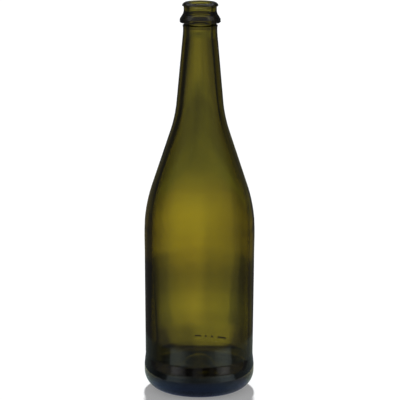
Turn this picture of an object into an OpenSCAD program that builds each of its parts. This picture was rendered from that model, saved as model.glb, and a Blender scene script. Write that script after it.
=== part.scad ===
// Sparkling wine bottle for 750 ml, blown in a mould from one gob of olive green glass.
// It is one solid of revolution about Z and stands on the plane Z = 0. Each outline below
// is a run of named corners [radius, height, rounding]: rounded() turns every corner into
// the arc that touches both of its sides, so a curve is given by its real radius alone.

/* [Bottle] */
// Height from the table to the top of the lip
total_h = 305.8; // [300:0.1:320]
// Diameter over the two bands on which bottles touch in a row
body_d = 86; // [82:0.5:90]

/* [Body] */
// Radius of the heel, from the upright side to the bearing ring
heel_r = 15; // [12:0.5:17]
// Height of the heel's contact band
heel_band_h = 20; // [18:0.5:24]
// Height at which the label panel starts
panel_low_h = 27.5; // [26:0.5:34]
// How far the label panel lies back from the bands at its lower end
panel_low_step = 1; // [0.3:0.05:1.5]
// Height at which the label panel ends
panel_high_h = 104; // [96:0.5:110]
// How far the label panel lies back from the bands at its upper end
panel_high_step = 0.3; // [0.2:0.05:1]
// Height at which the upper contact band starts
shoulder_band_h = 121; // [118:0.5:122]
// Rounding where the label panel rises to the heel's band
band_round_r = 12; // [4:0.5:14]
// Rounding where it runs out into the upper band
panel_high_r = 300; // [100:10:400]

/* [Shoulder and neck] */
// Height at which the shoulder leaves the upright side
shoulder_h = 126; // [123:0.5:128]
// Radius of the shoulder's long curve
shoulder_r = 118; // [100:1:140]
// Slope of the shoulder's cone, in degrees from upright
shoulder_slope = 18.4; // [17:0.1:20]
// Radius of the hollow curve between shoulder and neck
neck_r = 103; // [60:1:120]
// Slope of the neck, in degrees from upright
neck_slope = 5.2; // [4:0.1:6]
// Diameter of the upright collar at the top of the neck
neck_d = 26.1; // [25.5:0.1:27]
// Height of that collar, with its rounding
collar_h = 3.6; // [3:0.1:5]
// Rounding from the neck's slope into the collar
collar_r = 50; // [20:5:60]

/* [Finish] */
// Height of the finish, from the top of the neck to the top of the lip
finish_h = 19.3; // [18:0.1:24]
// Diameter of the lip that takes the crown cap
lip_d = 27.6; // [27:0.1:29.5]
// Height of the lip, down to its sharp lower edge
lip_h = 2.6; // [2.4:0.1:5]
// Height of the upright land over that edge
lip_land = 0.9; // [0.7:0.1:1.4]
// How far the lip's side leans in from the land to the top
lip_lean = 1.4; // [1:0.1:2.6]
// Width of the flat sealing face on top of the lip
seal_w = 1.6; // [0.4:0.1:1.8]
// Rounding of the mouth's inner edge
mouth_r = 1; // [0.5:0.1:1.4]
// Diameter of the throat between lip and wire ring
throat_d = 25.2; // [24.4:0.1:26]
// Depth from the top of the lip to the throat's foot, where the ring starts to swell
throat_drop = 7.9; // [7:0.1:10]
// Hollow rounding from the throat out to the ring
throat_r = 7; // [4:0.5:8]
// Diameter of the ring that holds the wire cage
ring_d = 31.2; // [30:0.1:32.5]
// Depth from the top of the lip to the ring's flat underside
ring_drop = 15.3; // [15:0.1:17.5]
// Height of the ring's upright band, with its roundings
ring_band_h = 2.6; // [2.2:0.1:3.4]
// Rounding over the ring's upright band
ring_top_r = 1.5; // [0.5:0.1:2]
// Diameter in the undercut that the wire grips
undercut_d = 23; // [22.4:0.1:25]
// Height of that undercut
undercut_h = 1.3; // [0.9:0.1:1.4]
// Diameter of the bead left where the neck ring of the mould parts
bead_d = 27; // [26.4:0.1:27.6]
// Height of that bead's sloped side
bead_h = 1.6; // [1:0.1:2.4]

/* [Glass] */
// Bore for the stopper
bore_d = 17.4; // [16.5:0.1:18.5]
// Depth to which the bore runs straight
bore_l = 27; // [22:0.5:32]
// Wall behind the label panel
body_wall = 4.15; // [3:0.05:5]
// Wall of the shoulder's cone, measured square to it
shoulder_wall = 4.5; // [3:0.1:5.5]
// Wall at the foot of the neck
neck_wall = 4.5; // [3.5:0.1:5.5]
// Glass between the punt and the wine
crown_t = 6; // [4:0.1:8]
// Height of the lowest wine above the table
floor_t = 11.4; // [10:0.1:13]
// Radius of the gutter round the punt, inside
gutter_r = 9.6; // [7:0.1:11]
// Slope at which the glass runs from the gutter up to the punt, in degrees
apron_slope = 27.4; // [22:0.1:32]

/* [Punt] */
// Depth of the punt at its middle
punt_h = 21; // [18:0.5:25]
// Radius of the punt's rounded top
punt_top_r = 9; // [7:0.5:11]
// Slope of the punt's side, in degrees
punt_slope = 56; // [50:1:60]
// Diameter at which the side turns into the flared skirt
punt_waist_d = 26; // [23:0.5:28]
// Rounding of that turn, underneath and inside
punt_waist_r = 9; // [5:0.5:11]

/* [Bearing ring] */
// Width of the ring that the bottle stands on, from the heel in to the punt
bearing_w = 3.2; // [2:0.1:4]
// Rounding of the ring's inner edge
bearing_round_r = 2.5; // [1:0.1:4]
// Number of knurls moulded across the ring's outer edge
knurl_n = 64; // [32:8:80]
// Diameter of the groove between two knurls
knurl_d = 2; // [1.2:0.1:2.6]
// Depth of that groove
knurl_depth = 0.3; // [0.15:0.05:0.4]
// How far the groove reaches in over the flat of the ring
knurl_reach = 1; // [0.4:0.1:1.4]

/* [Hidden] */

// Largest distance between an arc and its chord
sag = 0.03;
// Steps round the axis
turn_steps = 128;

// Roundings that the mould leaves: on small edges, over the land, on the bead, under the
// lip, where the neck meets the bead, and where the bore starts to widen
edge_r = 0.3;
land_r = 0.8;
bead_r = 0.7;
lip_foot_r = 0.6;
neck_top_r = 8;
bore_end_r = 25;
// How far the lip's underside falls from its edge to the throat
lip_hook = 0.6;

glass_colour = [0.40, 0.37, 0.10];

// Radii and heights that the outlines share
body_r = body_d / 2;
panel_foot_r = body_r - panel_low_step;
panel_top_r = body_r - panel_high_step;
neck_top_h = total_h - finish_h;
ring_low_h = total_h - ring_drop;
bearing_flat_r = body_r - heel_r;

// The upright side and the shoulder's cone meet at this height, outside the curve
shoulder_corner_h = shoulder_h + shoulder_r * tan(shoulder_slope / 2);

// Corner where the shoulder's cone and the neck's cone meet. Each cone is written as
// its radius at height 0 and the radius that it loses with each millimetre of height.
shoulder_line = [body_r + shoulder_corner_h * tan(shoulder_slope), tan(shoulder_slope)];
neck_line = [neck_d / 2 + (neck_top_h - collar_h) * tan(neck_slope), tan(neck_slope)];
neck_corner = crossing(shoulder_line, neck_line);

// The lip's sloped side runs over the top in one arc, up to the sealing face
lip_turn = 90 - atan(lip_lean / (lip_h - lip_land));
lip_top_r = (lip_d / 2 - lip_lean - seal_w - mouth_r - bore_d / 2) / tan(lip_turn / 2);

// Cones of the inside: the shoulder's runs parallel to the outside, and the neck's runs
// from the end of the bore to the wall at the foot of the neck
bore_r = bore_d / 2;
bore_end_h = total_h - bore_l;
cavity_r = panel_foot_r - body_wall;
inner_shoulder_line = [shoulder_line[0] - shoulder_wall / cos(shoulder_slope), shoulder_line[1]];
inner_neck_fall = (neck_corner[0] - neck_wall - bore_r) / (bore_end_h - neck_corner[1]);
inner_neck_line = [bore_r + bore_end_h * inner_neck_fall, inner_neck_fall];
inner_neck_corner = crossing(inner_shoulder_line, inner_neck_line);
inner_shoulder_h = (inner_shoulder_line[0] - cavity_r) / inner_shoulder_line[1];

// Inside, the apron touches the gutter's arc from below, and the punt's side runs
// parallel to the underside at the thickness of the crown
apron_fall = tan(apron_slope);
gutter_touch = [cavity_r - gutter_r * (1 + sin(apron_slope)),
                floor_t + gutter_r * (1 - cos(apron_slope))];
apron_top_h = gutter_touch[1] + gutter_touch[0] * apron_fall;
inner_punt_h = punt_h + crown_t;
inner_top_r = punt_top_r + crown_t;
inner_waist_r = (inner_punt_h + dome_corner_r(inner_top_r) * tan(punt_slope) - apron_top_h)
                / (tan(punt_slope) - apron_fall);

// Radius at which the side of a punt would meet the flat over its rounded top
function dome_corner_r(top_r) = top_r * tan(punt_slope / 2);

// Point [radius, height] where two cones, each [radius at height 0, fall], cross
function crossing(a, b) =
    let (h = (a[0] - b[0]) / (a[1] - b[1]))
    [a[0] - h * a[1], h];

// Unit vector from one corner to the next
function heading(from, to) =
    let (d = [to[0] - from[0], to[1] - from[1]])
    d / norm(d);

// The corner's arc, or the corner itself where it has no rounding
function corner_arc(before, corner, after) =
    corner[2] == 0 ? [[corner[0], corner[1]]] :
    let (back = heading(corner, before),
         ahead = heading(corner, after),
         turn = 180 - acos(back * ahead),
         middle = (back + ahead) / norm(back + ahead),
         centre = [corner[0], corner[1]] + middle * corner[2] / cos(turn / 2),
         start = [corner[0], corner[1]] + back * corner[2] * tan(turn / 2) - centre,
         side = sign(back[1] * ahead[0] - back[0] * ahead[1]),
         steps = max(2, ceil(turn / (2 * acos(1 - sag / corner[2])))))
    [for (i = [0 : steps])
        let (a = side * turn * i / steps)
        centre + [start[0] * cos(a) - start[1] * sin(a),
                  start[0] * sin(a) + start[1] * cos(a)]];

// A run of corners with every inner one rounded; its two ends stay sharp
function rounded(run) = [
    for (i = [0 : len(run) - 1])
        let (before = run[max(i - 1, 0)], after = run[min(i + 1, len(run) - 1)])
        for (p = (i == 0 || i == len(run) - 1) ? [[run[i][0], run[i][1]]]
                                                : corner_arc(before, run[i], after)) p];

// Punt and bearing ring, from the axis outwards
punt_corners = [
    [0, punt_h, 0],
    [dome_corner_r(punt_top_r), punt_h, punt_top_r],
    [punt_waist_d / 2,
     punt_h - (punt_waist_d / 2 - dome_corner_r(punt_top_r)) * tan(punt_slope), punt_waist_r],
    [bearing_flat_r - bearing_w, 0, bearing_round_r]];

// Heel, contact bands and the label panel between them, upwards
body_corners = [
    [body_r, 0, heel_r],
    [body_r, heel_band_h, band_round_r],
    [panel_foot_r, panel_low_h, band_round_r],
    [panel_top_r, panel_high_h, panel_high_r],
    [body_r, shoulder_band_h, panel_high_r]];

// Shoulder and neck: curve, cone, hollow curve, cone, collar
neck_corners = [
    [body_r, shoulder_corner_h, shoulder_r],
    [neck_corner[0], neck_corner[1], neck_r],
    [neck_d / 2, neck_top_h - collar_h, collar_r],
    [neck_d / 2, neck_top_h, neck_top_r]];

// Bead, undercut, wire ring, throat and lip
finish_corners = [
    [bead_d / 2, ring_low_h - undercut_h - bead_h / 2, bead_r],
    [undercut_d / 2, ring_low_h - undercut_h, edge_r],
    [undercut_d / 2, ring_low_h, edge_r],
    [ring_d / 2, ring_low_h, edge_r],
    [ring_d / 2, ring_low_h + ring_band_h, ring_top_r],
    [throat_d / 2, total_h - throat_drop, throat_r],
    [throat_d / 2, total_h - lip_h - lip_hook, lip_foot_r],
    [lip_d / 2, total_h - lip_h, edge_r],
    [lip_d / 2, total_h - lip_h + lip_land, land_r],
    [lip_d / 2 - lip_lean, total_h, lip_top_r]];

// Inside, from the mouth down to the axis over the punt
cavity_corners = [
    [bore_r, total_h, mouth_r],
    [bore_r, bore_end_h, bore_end_r],
    [inner_neck_corner[0], inner_neck_corner[1], neck_r + neck_wall],
    [cavity_r, inner_shoulder_h, shoulder_r - shoulder_wall],
    [cavity_r, apron_top_h - cavity_r * apron_fall, gutter_r],
    [inner_waist_r, apron_top_h - inner_waist_r * apron_fall, punt_waist_r + crown_t],
    [dome_corner_r(inner_top_r), inner_punt_h, inner_top_r],
    [0, inner_punt_h, 0]];

// Wall of the bottle in half section, right of the axis
module wall_section() {
    polygon(rounded(concat(punt_corners, body_corners, neck_corners,
                           finish_corners, cavity_corners)));
}

// Grooves between the knurls: each starts on the flat of the bearing ring and runs out
// where the heel has risen by its depth
module knurl_grooves() {
    for (i = [0 : knurl_n - 1])
        rotate([0, 0, (i + 0.5) * 360 / knurl_n])
            translate([bearing_flat_r - knurl_reach, 0, knurl_depth - knurl_d / 2])
                rotate([0, 90, 0])
                    cylinder(h = heel_r / 2, d = knurl_d, $fn = 24);
}

module bottle() {
    color(glass_colour)
        difference() {
            rotate_extrude($fn = turn_steps) wall_section();
            knurl_grooves();
        }
}

bottle();
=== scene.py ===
"""Sparkling wine bottle of olive green glass, empty and open, on a plain white table.

A Blender add-on, run as a script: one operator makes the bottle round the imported
frame and one sets the stage. The sizes are those of the part's source, in metres.
"""

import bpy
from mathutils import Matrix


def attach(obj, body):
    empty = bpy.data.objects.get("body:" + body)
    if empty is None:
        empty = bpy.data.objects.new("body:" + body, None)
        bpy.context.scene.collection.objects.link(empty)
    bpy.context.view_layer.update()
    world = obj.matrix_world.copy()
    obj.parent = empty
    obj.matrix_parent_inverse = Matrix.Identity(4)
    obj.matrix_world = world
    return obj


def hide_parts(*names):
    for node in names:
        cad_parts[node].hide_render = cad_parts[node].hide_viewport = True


bl_info = {
    "name": "Sparkling Wine Bottle",
    "version": (1, 0, 0),
    "blender": (4, 5, 0),
    "location": "View3D > Sidebar > Bottle",
    "description": "Models a moulded glass bottle with its cavity, punt and wire ring",
    "category": "Object",
}

import math

import bpy
import numpy as np
from bpy.props import FloatProperty, FloatVectorProperty, IntProperty, PointerProperty
from mathutils import Matrix, Vector

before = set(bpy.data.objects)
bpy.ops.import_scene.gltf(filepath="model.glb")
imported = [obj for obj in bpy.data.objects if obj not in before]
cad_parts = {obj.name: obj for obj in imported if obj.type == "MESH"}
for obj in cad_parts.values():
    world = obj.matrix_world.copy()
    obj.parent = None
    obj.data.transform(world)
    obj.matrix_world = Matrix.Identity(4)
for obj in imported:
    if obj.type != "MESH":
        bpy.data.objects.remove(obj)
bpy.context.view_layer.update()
NODE, BODY, GLASS_SLOT = "bottle", "root", "glass"
MM = 0.001


def length(name, description, mm):
    """A size in millimetres, kept in metres as Blender's own lengths are."""
    return FloatProperty(name=name, description=description, default=mm * MM,
                         precision=5, unit="LENGTH")


def slope(name, description, degrees):
    return FloatProperty(name=name, description=description,
                         default=math.radians(degrees), unit="ROTATION")


def srgb(code):
    """Linear red, green and blue of an sRGB hex colour."""
    values = [int(code[i:i + 2], 16) / 255 for i in (1, 3, 5)]
    return tuple(v / 12.92 if v <= 0.04045 else ((v + 0.055) / 1.055) ** 2.4 for v in values)


def colour(name, description, code):
    return FloatVectorProperty(name=name, description=description, default=srgb(code),
                               subtype="COLOR", size=3, min=0, max=1)


class BottleSizes(bpy.types.PropertyGroup):
    """Outside of the bottle: body, shoulder, neck and finish."""
    total_h: length("Height", "Top of the lip over the table", 305.8)
    body_d: length("Body", "Diameter over the contact bands", 86)
    heel_r: length("Heel", "Rounding from the side into the base", 15)
    heel_band_h: length("Heel band", "Top of the lower contact band", 20)
    panel_low_h: length("Panel foot", "Lower end of the label panel", 27.5)
    panel_low_step: length("Panel foot step", "Depth of the panel at its lower end", 1)
    panel_high_h: length("Panel top", "Upper end of the label panel", 104)
    panel_high_step: length("Panel top step", "Depth of the panel at its upper end", 0.3)
    shoulder_band_h: length("Shoulder band", "Lower edge of the upper contact band", 121)
    band_round_r: length("Band rounding", "Rounding from the panel to the heel's band", 12)
    panel_high_r: length("Panel run-out", "Rounding from the panel to the upper band", 300)
    shoulder_h: length("Shoulder", "Height at which the side starts to lean in", 126)
    shoulder_r: length("Shoulder curve", "Radius of the shoulder's curve", 118)
    shoulder_slope: slope("Shoulder slope", "Lean of the shoulder's cone", 18.4)
    neck_r: length("Hollow curve", "Radius from the shoulder into the neck", 103)
    neck_slope: slope("Neck slope", "Lean of the neck's cone", 5.2)
    neck_d: length("Neck", "Diameter of the upright collar at the neck's top", 26.1)
    collar_h: length("Collar", "Height of that collar, with its rounding", 3.6)
    collar_r: length("Collar rounding", "From the neck's slope into the collar", 50)
    neck_top_r: length("Neck top", "Rounding where the neck meets the bead", 8)
    finish_h: length("Finish", "From the top of the neck to the top of the lip", 19.3)
    lip_d: length("Lip", "Diameter of the crown cap lip", 27.6)
    lip_h: length("Lip height", "Height of the lip", 2.6)
    lip_land: length("Lip land", "Height of the upright land over the lip's edge", 0.9)
    lip_lean: length("Lip lean", "How far the lip's side leans in above the land", 1.4)
    lip_hook: length("Lip hook", "Fall of the lip's underside to the throat", 0.6)
    seal_w: length("Sealing face", "Width of the flat on top of the lip", 1.6)
    mouth_r: length("Mouth rounding", "Rounding from the lip into the bore", 1)
    throat_d: length("Throat", "Diameter below the lip", 25.2)
    throat_drop: length("Throat drop", "From the top of the lip to the throat's foot", 7.9)
    throat_r: length("Throat foot", "Hollow rounding from the throat to the ring", 7)
    ring_d: length("Wire ring", "Diameter of the wire ring", 31.2)
    ring_drop: length("Ring drop", "From the top of the lip to the ring's underside", 15.3)
    ring_band_h: length("Ring band", "Height of the ring's upright band", 2.6)
    ring_top_r: length("Ring rounding", "Rounding over the ring's band", 1.5)
    undercut_d: length("Undercut", "Diameter of the groove below the ring", 23)
    undercut_h: length("Undercut height", "Height of the groove", 1.3)
    bead_d: length("Bead", "Diameter of the bead below the groove", 27)
    bead_h: length("Bead height", "Height of the bead", 1.6)
    bead_r: length("Bead rounding", "Rounding of the bead", 0.7)
    edge_r: length("Edges", "Rounding of the finish's small edges", 0.3)
    land_r: length("Land rounding", "Rounding from the land into the lip's side", 0.8)
    lip_foot_r: length("Lip foot", "Rounding from the lip into the throat", 0.6)


class InsideSizes(bpy.types.PropertyGroup):
    """Inside of the bottle, its punt and its bearing ring."""
    bore_d: length("Bore", "Diameter of the straight bore", 17.4)
    bore_l: length("Bore length", "Length of the straight bore", 27)
    bore_end_r: length("Bore end", "Rounding where the bore starts to widen", 25)
    body_wall: length("Body wall", "Glass at the foot of the panel", 4.15)
    shoulder_wall: length("Shoulder wall", "Glass in the shoulder's cone", 4.5)
    neck_wall: length("Neck wall", "Glass at the foot of the neck", 4.5)
    crown_t: length("Crown", "Glass over the punt", 6)
    floor_t: length("Floor", "Glass under the gutter", 11.4)
    gutter_r: length("Gutter", "Radius of the gutter round the punt", 9.6)
    apron_slope: slope("Apron", "Lean of the floor from the gutter to the punt", 27.4)
    punt_h: length("Punt", "Depth of the hollow under the base", 21)
    punt_top_r: length("Punt top", "Rounding over the hollow", 9)
    punt_slope: slope("Punt slope", "Lean of the hollow's side", 56)
    punt_waist_d: length("Punt waist", "Diameter at which the hollow flares", 26)
    punt_waist_r: length("Punt flare", "Rounding of the flare", 9)
    bearing_w: length("Bearing ring", "Width of the flat that the bottle stands on", 3.2)
    bearing_round_r: length("Bearing rounding", "Rounding inside the bearing ring", 2.5)


class MouldSizes(bpy.types.PropertyGroup):
    """What the mould leaves on the glass."""
    turn_steps: IntProperty(name="Turn steps", default=256, min=128, max=512,
                            description="Steps round the axis, four to each knurl")
    knurls: IntProperty(name="Knurls", default=64, min=8, max=128,
                        description="Knurls round the bearing ring")
    knurl_depth: length("Knurl depth", "Depth of the grooves between the knurls", 0.3)
    knurl_reach: length("Knurl reach", "Part of the flat that the grooves cross", 1)
    seam_w: length("Seam", "Width of the parting seams", 0.7)
    seam_h: length("Seam height", "Height of the parting seams", 0.13)
    wave: length("Wall waves", "Unevenness of the blown inside", 0.5)
    wave_size: length("Wave size", "Width of the waves of the inside", 22)
    mark_z: length("Code height", "Height of the mould code's dots", 30.6)
    mark_pitch: length("Code pitch", "Distance between the code's places", 2.1)
    mark_d: length("Code dot", "Diameter of a dot", 1.9)
    mark_h: length("Code relief", "Height of a dot", 0.6)


class GlassLook(bpy.types.PropertyGroup):
    """Colours of the glass."""
    clear: colour("Surface", "Colour of the glass surface itself", "#FFFFFF")
    body: colour("Glass", "Light that one millimetre of glass lets through", "#EAE8CC")
    rough: FloatProperty(name="Gloss", description="Roughness of the fire polished glass",
                         default=0.015, min=0, max=1, subtype="FACTOR")
    scuffed: FloatProperty(name="Scuffing", description="Roughness of the rubbed bands",
                           default=0.16, min=0, max=1, subtype="FACTOR")


class StageLook(bpy.types.PropertyGroup):
    """Camera, table and light."""
    camera_distance: length("Distance", "From the camera to the bottle, level", 1900)
    camera_h: length("Camera height", "Height of the camera over the table", 560.6)
    camera_tilt: slope("Tilt", "Angle by which the camera looks down", 12.169)
    camera_roll: slope("Roll", "Lean of the camera", 0.18)
    camera_side: length("Aim", "Sideways offset of the point aimed at", 0.28)
    lens: length("Lens", "Focal length on a 36 mm sensor", 224.67)
    table: colour("Table", "White laminate", "#E7E8E9")
    key: FloatProperty(name="Back light", description="Strength of the lamp behind",
                       default=3.5, min=0)
    fill: FloatProperty(name="Fill", description="Strength of the light all round",
                        default=0.2, min=0)
    lift: FloatProperty(name="Lift", description="Light added to the table for the camera",
                        default=0.235, min=0)


# Half section of the bottle

def crossing(a, b):
    """Point (radius, height) where two cones, each (radius at height 0, fall), cross."""
    h = (a[0] - b[0]) / (a[1] - b[1])
    return a[0] - h * a[1], h


def section_corners(s, i):
    """Corners (radius, height, rounding) of the glass, from the punt's centre up the
    outside to the lip and down the inside to the axis."""
    body_r, bore_r = s.body_d / 2, i.bore_d / 2
    neck_top = s.total_h - s.finish_h
    ring_low = s.total_h - s.ring_drop
    shoulder_fall, punt_fall = math.tan(s.shoulder_slope), math.tan(i.punt_slope)
    shoulder_corner_h = s.shoulder_h + s.shoulder_r * math.tan(s.shoulder_slope / 2)
    shoulder = (body_r + shoulder_corner_h * shoulder_fall, shoulder_fall)
    neck_fall = math.tan(s.neck_slope)
    neck = (s.neck_d / 2 + (neck_top - s.collar_h) * neck_fall, neck_fall)
    foot = crossing(shoulder, neck)
    lip_turn = math.pi / 2 - math.atan(s.lip_lean / (s.lip_h - s.lip_land))
    lip_top_r = ((s.lip_d / 2 - s.lip_lean - s.seal_w - s.mouth_r - bore_r)
                 / math.tan(lip_turn / 2))

    # Inside, the shoulder's cone lies one wall in, and the neck widens evenly to its foot
    bore_end = s.total_h - i.bore_l
    cavity_r = body_r - s.panel_low_step - i.body_wall
    inner_shoulder = (shoulder[0] - i.shoulder_wall / math.cos(s.shoulder_slope), shoulder_fall)
    inner_fall = (foot[0] - i.neck_wall - bore_r) / (bore_end - foot[1])
    inner_foot = crossing(inner_shoulder, (bore_r + bore_end * inner_fall, inner_fall))
    inner_shoulder_h = (inner_shoulder[0] - cavity_r) / shoulder_fall

    # The apron touches the gutter from below, and the bell follows the punt
    apron_fall = math.tan(i.apron_slope)
    touch_r = cavity_r - i.gutter_r * (1 + math.sin(i.apron_slope))
    apron_top = i.floor_t + i.gutter_r * (1 - math.cos(i.apron_slope)) + touch_r * apron_fall
    bell_h, bell_r = i.punt_h + i.crown_t, i.punt_top_r + i.crown_t
    punt_corner = i.punt_top_r * math.tan(i.punt_slope / 2)
    bell_corner = bell_r * math.tan(i.punt_slope / 2)
    waist_r = (bell_h + bell_corner * punt_fall - apron_top) / (punt_fall - apron_fall)
    punt_waist_r = i.punt_waist_d / 2

    punt = [(0, i.punt_h, 0),
            (punt_corner, i.punt_h, i.punt_top_r),
            (punt_waist_r, i.punt_h - (punt_waist_r - punt_corner) * punt_fall,
             i.punt_waist_r),
            (body_r - s.heel_r - i.bearing_w, 0, i.bearing_round_r)]
    body = [(body_r, 0, s.heel_r),
            (body_r, s.heel_band_h, s.band_round_r),
            (body_r - s.panel_low_step, s.panel_low_h, s.band_round_r),
            (body_r - s.panel_high_step, s.panel_high_h, s.panel_high_r),
            (body_r, s.shoulder_band_h, s.panel_high_r),
            (body_r, shoulder_corner_h, s.shoulder_r),
            (foot[0], foot[1], s.neck_r),
            (s.neck_d / 2, neck_top - s.collar_h, s.collar_r),
            (s.neck_d / 2, neck_top, s.neck_top_r)]
    edge_h = s.total_h - s.lip_h
    finish = [(s.bead_d / 2, ring_low - s.undercut_h - s.bead_h / 2, s.bead_r),
              (s.undercut_d / 2, ring_low - s.undercut_h, s.edge_r),
              (s.undercut_d / 2, ring_low, s.edge_r),
              (s.ring_d / 2, ring_low, s.edge_r),
              (s.ring_d / 2, ring_low + s.ring_band_h, s.ring_top_r),
              (s.throat_d / 2, s.total_h - s.throat_drop, s.throat_r),
              (s.throat_d / 2, edge_h - s.lip_hook, s.lip_foot_r),
              (s.lip_d / 2, edge_h, s.edge_r),
              (s.lip_d / 2, edge_h + s.lip_land, s.land_r),
              (s.lip_d / 2 - s.lip_lean, s.total_h, lip_top_r)]
    inside = [(bore_r, s.total_h, s.mouth_r),
              (bore_r, bore_end, i.bore_end_r),
              (inner_foot[0], inner_foot[1], s.neck_r + i.neck_wall),
              (cavity_r, inner_shoulder_h, s.shoulder_r - i.shoulder_wall),
              (cavity_r, apron_top - cavity_r * apron_fall, i.gutter_r),
              (waist_r, apron_top - waist_r * apron_fall, i.punt_waist_r + i.crown_t),
              (bell_corner, bell_h, bell_r),
              (0, bell_h, 0)]
    return punt + body + finish + inside


# Modelling by hand: selection by place, and the operators that act on it

def edit_mode(elements="VERT"):
    bpy.ops.object.mode_set(mode="EDIT")
    bpy.ops.mesh.select_mode(type=elements)


def pick(piece, elements, chosen):
    """Selects the vertices, edges or faces whose flag in chosen is true."""
    bpy.ops.object.mode_set(mode="OBJECT")
    mesh = piece.data
    for kind in ("vertices", "edges", "polygons"):
        getattr(mesh, kind).foreach_set("select", np.zeros(len(getattr(mesh, kind)), bool))
    kind = {"VERT": "vertices", "EDGE": "edges", "FACE": "polygons"}[elements]
    getattr(mesh, kind).foreach_set("select", np.asarray(chosen, bool))
    edit_mode(elements)


def columns(elements, attribute="co"):
    """Three arrays x, y and z of the vertices' places or the faces' centres or normals."""
    values = np.empty(3 * len(elements))
    elements.foreach_get(attribute, values)
    return values.reshape(-1, 3).T


def extrude_to(at, goal):
    bpy.ops.mesh.extrude_vertices_move(TRANSFORM_OT_translate={"value": goal - at})
    return goal


def draw_section(corners, sag, widest_step):
    """Draws the section as a chain of edges in the XZ plane: straight stretches are
    extruded, and each rounded corner is spun about its centre."""
    places = [Vector((r, 0, z)) for r, z, _ in corners]
    bpy.ops.mesh.primitive_plane_add(size=MM, location=places[0])
    piece = bpy.context.object
    bpy.ops.object.transform_apply(location=True, rotation=False, scale=False)
    edit_mode()
    bpy.ops.mesh.merge(type="CENTER")
    at = places[0]
    for k in range(1, len(corners) - 1):
        back = (places[k - 1] - places[k]).normalized()
        ahead = (places[k + 1] - places[k]).normalized()
        radius = corners[k][2]
        turn = math.pi - back.angle(ahead)
        centre = places[k] + (back + ahead).normalized() * radius / math.cos(turn / 2)
        at = extrude_to(at, places[k] + back * radius * math.tan(turn / 2))
        steps = math.ceil(turn / min(2 * math.acos(1 - sag / radius), widest_step))
        side = 1 if back.cross(ahead).y > 0 else -1
        bpy.ops.mesh.spin(steps=max(3, steps), angle=side * turn, center=centre,
                          axis=(0, 1, 0))
        at = places[k] + ahead * radius * math.tan(turn / 2)
    extrude_to(at, places[-1])
    return piece


def split_long_edges(piece, longest):
    """Halves every edge until none is longer than longest."""
    while True:
        bpy.ops.object.mode_set(mode="OBJECT")
        co = columns(piece.data.vertices).T
        ends = np.empty(2 * len(piece.data.edges), int)
        piece.data.edges.foreach_get("vertices", ends)
        ends = ends.reshape(-1, 2)
        long_ones = np.linalg.norm(co[ends[:, 0]] - co[ends[:, 1]], axis=1) > longest
        if not long_ones.any():
            return
        pick(piece, "EDGE", long_ones)
        bpy.ops.mesh.subdivide(number_cuts=1)


def raise_surface(piece, name, weights, height, texture=None, guide=None):
    """Moves the surface out by height times each vertex's weight, times the texture's
    value where there is one."""
    bpy.ops.object.mode_set(mode="OBJECT")
    group = piece.vertex_groups.new(name=name)
    for index in np.flatnonzero(weights > 0):
        group.add([int(index)], float(weights[index]), "REPLACE")
    relief = piece.modifiers.new(name, "DISPLACE")
    relief.vertex_group = name
    relief.strength = height
    relief.mid_level = 0.5 if texture else 0
    if texture:
        relief.texture = texture
        relief.texture_coords = "OBJECT"
        relief.texture_coords_object = guide
    bpy.ops.object.modifier_apply(modifier=name)
    piece.vertex_groups.remove(piece.vertex_groups[name])


def smooth_step(values, start, end):
    t = np.clip((values - start) / (end - start), 0, 1)
    return t * t * (3 - 2 * t)


# Materials and the world

def add_node(tree, kind, settings=None, **inputs):
    """Adds a node, sets its settings, and fills each named input from a value or links
    it to an output. An underscore in an input's name stands for a space."""
    node = tree.nodes.new(kind)
    for key, value in (settings or {}).items():
        setattr(node, key, value)
    for key, value in inputs.items():
        socket = (node.inputs[int(key[1:])] if key[0] == "i" and key[1:].isdigit()
                  else node.inputs[key.replace("_", " ")])
        if isinstance(value, bpy.types.NodeSocket):
            tree.links.new(value, socket)
        else:
            socket.default_value = value
    return node


def math_node(tree, operation, *values):
    """Output of a Math node on the values."""
    inputs = {f"i{n}": value for n, value in enumerate(values)}
    return add_node(tree, "ShaderNodeMath", {"operation": operation}, **inputs).outputs[0]


def mixed(tree, blend, first, second, share=1):
    """Output of a Mix node that blends the second colour's share into the first."""
    return add_node(tree, "ShaderNodeMix", {"data_type": "RGBA", "blend_type": blend},
                    i0=share, i6=first, i7=second).outputs[2]


def ramp_node(tree, value, low, high, stops):
    """Output of a colour ramp: stops are (value, linear grey or colour) from low to high."""
    scaled = add_node(tree, "ShaderNodeMapRange", None, Value=value,
                      From_Min=low, From_Max=high).outputs[0]
    ramp = add_node(tree, "ShaderNodeValToRGB", None, Fac=scaled)
    ramp.color_ramp.interpolation = "EASE"
    elements = ramp.color_ramp.elements
    for n, (place, level) in enumerate(stops):
        element = elements[n] if n < 2 else elements.new(1)
        element.position = (place - low) / (high - low)
        rgb = level if isinstance(level, tuple) else (level,) * 3
        element.color = (*rgb, 1)
    return ramp.outputs[0]


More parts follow.
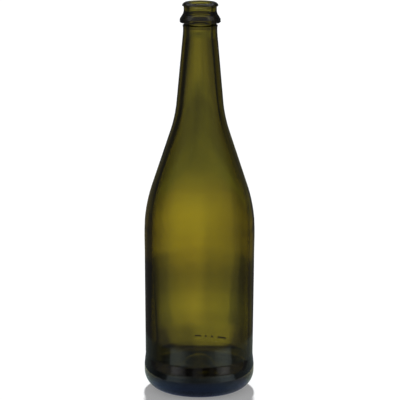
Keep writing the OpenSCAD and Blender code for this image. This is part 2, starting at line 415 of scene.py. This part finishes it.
def bottle_glass(look):
    """Olive green soda lime glass, blown in a mould and fire polished: clear and glossy,
    coloured through and through, so that thick glass is nearly black. The skin keeps a
    slight ripple of the mould, and the contact bands are scuffed by other bottles."""
    glass = bpy.data.materials.new("Olive soda lime bottle glass")
    glass.use_nodes = True
    tree = glass.node_tree
    tree.nodes.clear()
    place = add_node(tree, "ShaderNodeTexCoord").outputs["Object"]
    height = add_node(tree, "ShaderNodeSeparateXYZ", None, Vector=place).outputs["Z"]

    # Ripple of the mould's skin, 14 mm wide and drawn out upwards
    drawn = add_node(tree, "ShaderNodeMapping", None, Vector=place, Scale=(1, 1, 0.35))
    ripple = add_node(tree, "ShaderNodeTexNoise", None, Vector=drawn.outputs[0],
                      Scale=1 / (14 * MM), Detail=2, Roughness=0.5)
    skin = add_node(tree, "ShaderNodeBump", None, Height=ripple.outputs[0],
                    Strength=1, Distance=0.025 * MM)

    # Scuffs 0.6 mm across on the two contact bands and on the bearing ring
    bands = ramp_node(tree, height, 0, 0.13,
                      [(0, 1), (0.002, 1), (0.006, 0), (0.013, 0), (0.017, 0.8),
                       (0.022, 0.8), (0.026, 0), (0.116, 0), (0.119, 0.7), (0.122, 0.7),
                       (0.126, 0)])
    scuffs = add_node(tree, "ShaderNodeTexNoise", None, Vector=place,
                      Scale=1 / (0.6 * MM), Detail=4, Roughness=0.7)
    spots = add_node(tree, "ShaderNodeMapRange", None, Value=scuffs.outputs[0],
                     From_Min=0.5, From_Max=0.72).outputs[0]
    rubbed = math_node(tree, "MULTIPLY", bands, spots)
    roughness = add_node(tree, "ShaderNodeMapRange", None, Value=rubbed,
                         To_Min=look.rough, To_Max=look.scuffed).outputs[0]

    shader = add_node(tree, "ShaderNodeBsdfPrincipled", None, Base_Color=(*look.clear, 1),
                      Roughness=roughness, IOR=1.52, Transmission_Weight=1,
                      Normal=skin.outputs[0])
    # Volume Absorption takes up density times (1 - colour) in each metre
    densest = -math.log(look.body[2]) / MM
    inner = [1 + math.log(c) / MM / densest for c in look.body]
    volume = add_node(tree, "ShaderNodeVolumeAbsorption", None, Color=(*inner, 1),
                      Density=densest)
    add_node(tree, "ShaderNodeOutputMaterial", None, Surface=shader.outputs[0],
             Volume=volume.outputs[0])
    return glass


def deselect():
    if bpy.context.object and bpy.context.object.mode != "OBJECT":
        bpy.ops.object.mode_set(mode="OBJECT")
    bpy.ops.object.select_all(action="DESELECT")


class BOTTLE_OT_glass(bpy.types.Operator):
    """Models the bottle: section, turn, knurls, seams, mould code and blown inside"""
    bl_idname = "bottle.glass"
    bl_label = "Glass Bottle"

    def execute(self, context):
        scene = context.scene
        sizes, inside, mould = scene.bottle_sizes, scene.bottle_inside, scene.bottle_mould
        deselect()
        piece = draw_section(section_corners(sizes, inside), sag=0.006 * MM,
                             widest_step=math.radians(10))
        piece.name = piece.data.name = "glass_bottle"
        split_long_edges(piece, 8 * MM)

        pick(piece, "VERT", np.ones(len(piece.data.vertices), bool))
        bpy.ops.mesh.spin(steps=mould.turn_steps, angle=math.tau, center=(0, 0, 0),
                          axis=(0, 0, 1))
        bpy.ops.mesh.select_all(action="SELECT")
        bpy.ops.mesh.remove_doubles(threshold=0.001 * MM)
        bpy.ops.mesh.normals_make_consistent(inside=False)
        self.cut_seams(piece, sizes, mould.seam_w, mould.seam_h)
        self.knurl(piece, sizes, mould)
        self.emboss_code(piece, sizes, mould)
        self.blow_inside(piece, sizes, inside, mould)

        bpy.ops.object.shade_smooth()
        piece.data.materials.append(bottle_glass(scene.bottle_glass_look))
        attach(piece, BODY)
        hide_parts(NODE)
        return {"FINISHED"}

    def outer_wall(self, elements, place, sizes):
        """Whether each vertex or face is on the outside wall, from the heel up."""
        x, y, z = columns(elements, place)
        nx, ny, _ = columns(elements, "normal")
        above_base = (z > sizes.heel_r / 2) & ((z > 2 * sizes.heel_r)
                                               | (np.hypot(x, y) > sizes.body_d / 3))
        return (nx * x + ny * y > 0) & above_base

    def cut_seams(self, piece, sizes, width, height):
        """Cuts the outside along both edges of the parting seams and raises their middle,
        except on the contact bands, where they are rubbed flat, and over the lip."""
        for edge in (-width / 2, width / 2):
            bpy.ops.object.mode_set(mode="OBJECT")
            pick(piece, "FACE", self.outer_wall(piece.data.polygons, "center", sizes))
            bpy.ops.mesh.bisect(plane_co=(0, edge, 0), plane_no=(0, 1, 0))
        bpy.ops.object.mode_set(mode="OBJECT")
        x, y, z = columns(piece.data.vertices)
        on_seam = (np.abs(y) < 0.01 * MM) & self.outer_wall(piece.data.vertices, "co", sizes)
        room = smooth_step(sizes.body_d / 2 - np.abs(x), 0.15 * MM, 0.4 * MM)
        below_lip = 1 - smooth_step(z, sizes.total_h - sizes.lip_h, sizes.total_h - sizes.lip_h / 2)
        raise_surface(piece, "seams", on_seam * room * below_lip, height)

    def knurl(self, piece, sizes, mould):
        """Sinks a groove between each two knurls into the bearing ring's outer edge."""
        x, y, z = columns(piece.data.vertices)
        r = np.hypot(x, y)
        pitch = math.tau / mould.knurls
        from_groove = np.abs((np.arctan2(y, x) / pitch) % 1 - 0.5) * pitch
        flat_r = sizes.body_d / 2 - sizes.heel_r
        across = smooth_step(r, flat_r - mould.knurl_reach, flat_r - mould.knurl_reach / 2)
        under = 1 - smooth_step(z, 0, mould.knurl_depth)
        raise_surface(piece, "knurls", (from_groove < pitch / 8) * across * under
                      * (r < flat_r + sizes.heel_r / 2), -mould.knurl_depth)

    def emboss_code(self, piece, sizes, mould):
        """Raises the mould's code of plain dots on the back, just above the heel."""
        places = [mould.mark_pitch * n for n in (-1.3, -0.5, 0.3, 2.7, 5.4, 8, 8.8, 9.6, 10.4)]
        bpy.ops.object.mode_set(mode="OBJECT")
        faces = piece.data.polygons
        x, y, z = columns(faces, "center")
        margin = mould.mark_d
        pick(piece, "FACE", self.outer_wall(faces, "center", sizes) & (y > 0)
             & (x > places[0] - margin)
             & (x < places[-1] + margin) & (np.abs(z - mould.mark_z) < margin))
        bpy.ops.mesh.subdivide(number_cuts=8)
        bpy.ops.object.mode_set(mode="OBJECT")
        x, y, z = columns(piece.data.vertices)
        on_back = self.outer_wall(piece.data.vertices, "co", sizes) & (y > 0)
        radius = mould.mark_d / 2
        dome = np.zeros(len(x))
        for place in places:
            away = np.hypot(x - place, z - mould.mark_z) / radius
            dome = np.maximum(dome, np.sqrt(np.clip(1 - away ** 2, 0, 1)))
        raise_surface(piece, "code", dome * on_back, mould.mark_h)

    def blow_inside(self, piece, sizes, inside, mould):
        """Gives the inside the soft waves of blown glass, up to the foot of the neck."""
        x, y, z = columns(piece.data.vertices)
        r = np.hypot(x, y)
        nx, ny, _ = columns(piece.data.vertices, "normal")
        facing_in = nx * x + ny * y < 0
        low, high = inside.floor_t + inside.gutter_r, sizes.total_h - sizes.finish_h
        weights = (facing_in * smooth_step(z, low, low + 12 * MM)
                   * (1 - smooth_step(z, high - 60 * MM, high - 10 * MM)))
        waves = bpy.data.textures.new("wall_waves", "CLOUDS")
        waves.noise_scale = 1
        waves.noise_depth = 1
        guide = bpy.data.objects.new("wave_guide", None)
        bpy.context.scene.collection.objects.link(guide)
        guide.scale = (mould.wave_size, mould.wave_size, mould.wave_size * 5)
        bpy.context.view_layer.update()
        raise_surface(piece, "waves", weights, mould.wave, waves, guide)
        bpy.data.objects.remove(guide)
        bpy.data.textures.remove(waves)


class BOTTLE_OT_stage(bpy.types.Operator):
    """Sets up the table, the studio light and the camera"""
    bl_idname = "bottle.stage"
    bl_label = "Stage"

    def execute(self, context):
        look = context.scene.bottle_stage
        deselect()
        self.table(look)
        self.studio(context.scene, look)
        self.lamp(look)
        self.camera(context.scene, look)
        context.scene.view_settings.view_transform = "Standard"
        return {"FINISHED"}

    def table(self, look):
        """White table that keeps the bottle's shadow and meets the white background. What
        the glass shows of it is painted: a painted pool of light and glow round the bottle."""
        bpy.ops.mesh.primitive_plane_add(size=60)
        table = bpy.context.object
        table.name = "table"
        edit_mode("FACE")
        bpy.ops.mesh.subdivide(number_cuts=9)
        bpy.ops.object.mode_set(mode="OBJECT")
        laminate = bpy.data.materials.new("White table laminate")
        laminate.use_nodes = True
        tree = laminate.node_tree
        tree.nodes.clear()
        place = add_node(tree, "ShaderNodeTexCoord").outputs["Object"]
        away = add_node(tree, "ShaderNodeVectorMath", {"operation": "LENGTH"},
                        i0=place).outputs["Value"]
        bearing = self.bearing(tree, place)
        path = add_node(tree, "ShaderNodeLightPath").outputs

        matt = add_node(tree, "ShaderNodeBsdfDiffuse", None, Color=(*look.table, 1))
        lift = add_node(tree, "ShaderNodeEmission", None, Color=(1, 1, 1, 1),
                        Strength=math_node(tree, "MULTIPLY", path["Is Camera Ray"],
                                           look.lift))
        plain = add_node(tree, "ShaderNodeAddShader", None, i0=matt.outputs[0],
                         i1=lift.outputs[0]).outputs[0]

        # Painted reflection for the glass: a painted pool of light in front of the bottle,
        # painted bluish shade at its foot, then the dim room, and at a low angle panels beyond it.
        front = math_node(tree, "WRAP", bearing, 360, 0)
        facing = add_node(tree, "ShaderNodeLayerWeight", None, Blend=0.5).outputs["Facing"]
        pool = mixed(tree, "MIX", self.foot_pool(tree, front), self.near_pool(tree, front),
                     ramp_node(tree, away, 0, 0.2, [(0.083, 0), (0.087, 1)]))
        # Painted shade: the bottle's shadow as the glass mirrors it, dark and bluish at the foot.
        painted_foot_shade = ramp_node(tree, away, 0, 0.2, [
            (0.033, (0.18, 0.22, 0.36)), (0.039, (0.22, 0.3, 0.5)), (0.045, (0.3, 0.45, 0.85)),
            (0.051, (0.36, 0.54, 0.97)), (0.058, (0.4, 0.58, 0.97)), (0.067, (0.37, 0.52, 0.85)),
            (0.08, (0.4, 0.52, 0.8)), (0.087, (0.78, 0.95, 1)), (0.114, (0.78, 0.95, 1)),
            (0.13, (0.85, 1, 0.93))])
        low = math_node(tree, "MULTIPLY", ramp_node(tree, facing, 0, 1, [(0.915, 0), (0.935, 1)]),
                        ramp_node(tree, away, 0, 4, [(1.6, 1), (2, 0)]))
        dim = mixed(tree, "MIX", self.room(tree, bearing), self.far_panels(tree, front), low)
        # Painted reflection: the table glows with this colour only for rays that the glass mirrors.
        painted_reflection = add_node(
            tree, "ShaderNodeEmission", None, Strength=1,
            Color=mixed(tree, "MIX", mixed(tree, "MULTIPLY", pool, painted_foot_shade), dim,
                        ramp_node(tree, away, 0, 0.2, [(0.168, 0), (0.185, 1)]))).outputs[0]

        # Seen through the glass: painted rings of light glowing on the table, whose pattern changes
        # from the bottle's foot to the far end. Seen steeply the painted glow is made darker, as a
        # dark ceiling.
        reach = math_node(tree, "LOGARITHM", away, 10)

        def by_distance(*stops):
            return ramp_node(tree, reach, math.log10(0.05), math.log10(4),
                             [(math.log10(mm * MM), level) for mm, level in stops])

        rings = by_distance(
            (50, 0.27), (98, 0.25), (104, 0.03), (113, 0.36), (140, 0.32),
            (175, 0.36), (215, 0.5), (270, 0.63), (305, 0.57), (340, 0.45), (385, 0.4),
            (425, 0.46), (475, 0.63), (530, 0.9), (590, 0.96), (640, 0.86), (700, 0.7),
            (790, 0.55), (950, 0.46), (1150, 0.3), (1300, 0.27), (1450, 0.33), (1650, 0.38),
            (2000, 0.36), (2600, 0.2), (4000, 0.14))
        tint = by_distance((300, (1, 1, 0.7)), (560, (1, 0.94, 0.5)), (700, (1, 0.95, 0.6)),
                           (950, (0.92, 1, 0.8)), (1400, (0.94, 1, 0.8)), (1700, (1, 1, 0.8)))
        pattern = self.foot_ring(tree, bearing)
        for ring, share in ((self.near_ring, ((180, 0), (225, 1))),
                            (self.wide_ring, ((480, 0), (560, 1))),
                            (self.far_ring, ((740, 0), (950, 1), (1350, 1), (1600, 0)))):
            pattern = mixed(tree, "MIX", pattern, ring(tree, bearing), by_distance(*share))
        pattern = mixed(tree, "MIX", self.heel_ring(tree, bearing),
                        self.around(tree, bearing, pattern), by_distance((98, 0), (104, 1)))
        level = ramp_node(tree, facing, 0, 1, [(0.38, 0.3), (0.48, 0.03), (0.6, 0.03), (0.71, 1)])
        for factor in (tint, pattern):
            level = mixed(tree, "MULTIPLY", level, factor)
        # Painted glow: the table emits this light for rays that come through the glass, though it
        # is no lamp.
        through = add_node(tree, "ShaderNodeEmission", None, Strength=2.2,
                           Color=mixed(tree, "MULTIPLY", rings, level))

        shader = plain
        for ray, seen in (("Is Glossy Ray", painted_reflection),
                          ("Is Transmission Ray", through.outputs[0])):
            shader = add_node(tree, "ShaderNodeMixShader", None, Fac=path[ray], i1=shader,
                              i2=seen).outputs[0]
        add_node(tree, "ShaderNodeOutputMaterial", None, Surface=shader)
        table.data.materials.append(laminate)

    def bearing(self, tree, way):
        """Angle in degrees from straight behind the bottle, to the right."""
        east, north, _ = add_node(tree, "ShaderNodeSeparateXYZ", None, Vector=way).outputs
        return math_node(tree, "DEGREES", math_node(tree, "ARCTAN2", east, north))

    def room(self, tree, bearing):
        """Brightness of the room that the glass mirrors, lit in front and dark behind: world light,
        and a painted reflection on the table.
        """
        return ramp_node(tree, math_node(tree, "ABSOLUTE", bearing), 0, 180, [
            (0, 0.08), (30, 0.06), (60, 0.06), (73, 0.07), (85, 0.1), (100, 0.17),
            (114, 0.21), (180, 0.21)])

    def foot_pool(self, tree, front):
        """Painted pool of light at the bottle's foot in front, less in the middle. Bearings run
        from the right (90 degrees) past the camera (180) to the left (270)."""
        return ramp_node(tree, front, 0, 360, [
            (88, (1, 0.8, 0.42)), (105, (0.95, 0.75, 0.55)), (131, (0.85, 0.76, 0.6)),
            (155, (0.6, 0.6, 0.58)), (168, (0.52, 0.5, 0.5)), (200, (0.52, 0.5, 0.5)),
            (212, (0.62, 0.62, 0.6)), (236, (0.72, 0.7, 0.6)), (250, (0.9, 0.8, 0.6)),
            (268, (1, 0.85, 0.48))])

    def near_pool(self, tree, front):
        """Painted light in front: a painted lit stripe on each side of the camera, darker between
        them.
        """
        return ramp_node(tree, front, 0, 360, [
            (90, 0.16), (114, 0.16), (118.5, 0.6), (126, 0.8), (140, 0.8), (147, 0.6),
            (155, 0.42), (168, 0.26), (192, 0.24), (201, 0.34), (209, 0.55), (217, 0.7),
            (233, 0.68), (240, 0.14), (252, 0.08), (300, 0.12)])

    def far_panels(self, tree, front):
        """Painted reflection of the same two stripes at the table's far end, with black gaps
        between them.
        """
        return ramp_node(tree, front, 0, 360, [
            (103, 0.28), (109, 0.35), (114, 1), (127, 0.85), (134, 0.7), (141, 0.45), (147, 0.08),
            (156, 0.1), (163, 0.03), (171, 0.05), (176, 0.17), (190, 0.19), (196, 0.06),
            (205, 0.06), (212, 0.3), (219, 0.5), (226, 0.72), (234, 0.72), (241, 0.3), (248, 0.12)])

    def panels(self, tree, bearing):
        """Light panels round the bottle, one every 45 degrees, with dark gaps between: world light,
        and painted light where the table shows them.
        """
        off = math_node(tree, "WRAP", bearing, 22.5, -22.5)
        return ramp_node(tree, off, -22.5, 22.5, [
            (-22.5, 0.08), (-17, 0.2), (-11, 0.36), (-6, 0.76), (2, 0.72), (9, 0.58),
            (13, 0.24), (22.5, 0.08)])

    def around(self, tree, bearing, behind):
        """The light behind the bottle, and the other panels to its sides and in front."""
        aside = ramp_node(tree, math_node(tree, "ABSOLUTE", bearing), 0, 180,
                          [(58, 0), (68, 1)])
        return mixed(tree, "MIX", behind, self.panels(tree, bearing), aside)

    def heel_ring(self, tree, bearing):
        """What little painted light the heel sees beside the bearing ring, most of it on the right.
        """
        return ramp_node(tree, bearing, -90, 90, [
            (-30, 0), (-21, 0.35), (-12, 0.12), (0, 0.12), (14, 0.3), (24, 0.35), (30, 0.1),
            (38, 0.6), (46, 1), (60, 0.6), (90, 0.3)])

    def foot_ring(self, tree, bearing):
        """Painted light at the bottle's foot, where its right half is the brighter one."""
        return ramp_node(tree, bearing, -60, 60, [
            (-24, 0.01), (-17, 0.15), (-10, 0.56), (-4, 0.6), (1, 0.9), (11, 1), (14, 0.72),
            (17, 0.28), (21, 0.14), (32, 0.24), (42, 0.2), (52, 0.05)])

    def near_ring(self, tree, bearing):
        """Painted light near the bottle: a warm middle, dark on the left, faint on the right."""
        return ramp_node(tree, bearing, -60, 60, [
            (-27, (0.02, 0.02, 0.02)), (-21, (0.17, 0.18, 0.18)), (-14, (0.39, 0.41, 0.4)),
            (-10.5, (0.46, 0.48, 0.46)), (-6.5, (0.76, 0.75, 0.7)), (-1.5, (1, 0.95, 0.9)),
            (3, (0.75, 0.74, 0.7)), (8.5, (0.7, 0.72, 0.7)), (11, (0.4, 0.43, 0.42)),
            (17, (0.2, 0.22, 0.22)), (25, (0.22, 0.24, 0.24)), (38, (0.35, 0.37, 0.37)),
            (48, (0.1, 0.1, 0.1))])

    def wide_ring(self, tree, bearing):
        """Light further out: brightest behind the bottle and wide on both sides; world light,
        and painted light where the table shows it.
        """
        return ramp_node(tree, bearing, -60, 60, [
            (-34, 0.1), (-25, 0.42), (-17, 0.62), (-10, 0.8), (-4, 1), (-1, 0.95), (3, 0.75),
            (8, 0.68), (11, 0.5), (16, 0.47), (26, 0.54), (42, 0.62), (54, 0.1)])

    def far_ring(self, tree, bearing):
        """Painted even light still further out, a little darker in the middle."""
        return ramp_node(tree, bearing, -60, 60, [
            (-50, 0.1), (-30, 0.35), (-22, 0.52), (-15, 0.76), (-7, 0.76), (-1.5, 0.56),
            (4, 0.74), (14, 0.76), (22, 0.95), (32, 1), (44, 0.4), (54, 0.1)])

    def studio(self, scene, look):
        """White backdrop for the camera. Above the table the glass shows the panels, and
        mirrors the dim room."""
        world = bpy.data.worlds.new("Light tent")
        scene.world = world
        world.use_nodes = True
        tree = world.node_tree
        tree.nodes.clear()
        way = add_node(tree, "ShaderNodeTexCoord").outputs["Generated"]
        bearing = self.bearing(tree, way)
        path = add_node(tree, "ShaderNodeLightPath").outputs
        height = add_node(tree, "ShaderNodeSeparateXYZ", None, Vector=way).outputs["Z"]
        rise = math_node(tree, "DEGREES", math_node(tree, "ARCSINE", height))
        ceiling = mixed(tree, "MULTIPLY", ramp_node(tree, rise, 0, 90, [(26, 0), (45, 0.6)]),
                        ramp_node(tree, math_node(tree, "ABSOLUTE", bearing), 0, 180,
                                  [(100, 1), (140, 0.3)]))
        shader = add_node(tree, "ShaderNodeBackground", None, Color=(0.97, 0.98, 1, 1),
                          Strength=look.fill).outputs[0]
        for ray, colour, strength in (
                ("Is Glossy Ray", mixed(tree, "ADD", self.room(tree, bearing), ceiling), 1),
                ("Is Transmission Ray",
                 self.around(tree, bearing, self.wide_ring(tree, bearing)), 0.48),
                ("Is Camera Ray", (1, 1, 1, 1), 1)):
            seen = add_node(tree, "ShaderNodeBackground", None, Color=colour,
                            Strength=strength)
            shader = add_node(tree, "ShaderNodeMixShader", None, Fac=path[ray], i1=shader,
                              i2=seen.outputs[0]).outputs[0]
        add_node(tree, "ShaderNodeOutputWorld", None, Surface=shader)

    def lamp(self, look):
        """Lamp behind the bottle and above it, whose shadow falls towards the camera."""
        light = bpy.data.lights.new("back_light", "SUN")
        light.energy = look.key
        light.angle = math.radians(4)
        lamp = bpy.data.objects.new("back_light", light)
        bpy.context.scene.collection.objects.link(lamp)
        height = math.radians(48)
        towards = Vector((0, -math.cos(height), -math.sin(height)))
        lamp.rotation_euler = towards.to_track_quat("-Z", "Y").to_euler()
        lamp.visible_glossy = lamp.visible_transmission = False

    def camera(self, scene, look):
        data = bpy.data.cameras.new("photo_camera")
        data.sensor_width = 36
        data.lens = look.lens / MM
        data.clip_end = 100
        camera = bpy.data.objects.new("photo_camera", data)
        scene.collection.objects.link(camera)
        aim_h = look.camera_h - look.camera_distance * math.tan(look.camera_tilt)
        place = Vector((0, -look.camera_distance, look.camera_h))
        aim = Vector((look.camera_side, 0, aim_h))
        turn = (aim - place).to_track_quat("-Z", "Y").to_matrix().to_4x4()
        camera.matrix_world = (Matrix.Translation(place) @ turn
                               @ Matrix.Rotation(look.camera_roll, 4, "Z"))
        scene.camera = camera


class BOTTLE_PT_panel(bpy.types.Panel):
    """Lists the steps that make the bottle and its stage"""
    bl_idname = "BOTTLE_PT_panel"
    bl_label = "Sparkling Wine Bottle"
    bl_space_type = "VIEW_3D"
    bl_region_type = "UI"
    bl_category = "Bottle"

    def draw(self, context):
        for group in GROUPS:
            box = self.layout.box()
            for key in GROUPS[group].__annotations__:
                box.prop(getattr(context.scene, group), key)
        for step in STEPS:
            self.layout.operator(step.bl_idname)


GROUPS = {"bottle_sizes": BottleSizes, "bottle_inside": InsideSizes,
          "bottle_mould": MouldSizes, "bottle_glass_look": GlassLook,
          "bottle_stage": StageLook}
STEPS = (BOTTLE_OT_glass, BOTTLE_OT_stage)


def register():
    for cls in (*GROUPS.values(), *STEPS, BOTTLE_PT_panel):
        bpy.utils.register_class(cls)
    for name, group in GROUPS.items():
        setattr(bpy.types.Scene, name, PointerProperty(type=group))


def unregister():
    for name in GROUPS:
        delattr(bpy.types.Scene, name)
    for cls in reversed((*GROUPS.values(), *STEPS, BOTTLE_PT_panel)):
        bpy.utils.unregister_class(cls)


def main():
    register()
    bpy.ops.bottle.glass()
    bpy.ops.bottle.stage()


if __name__ == "__main__":
    main()
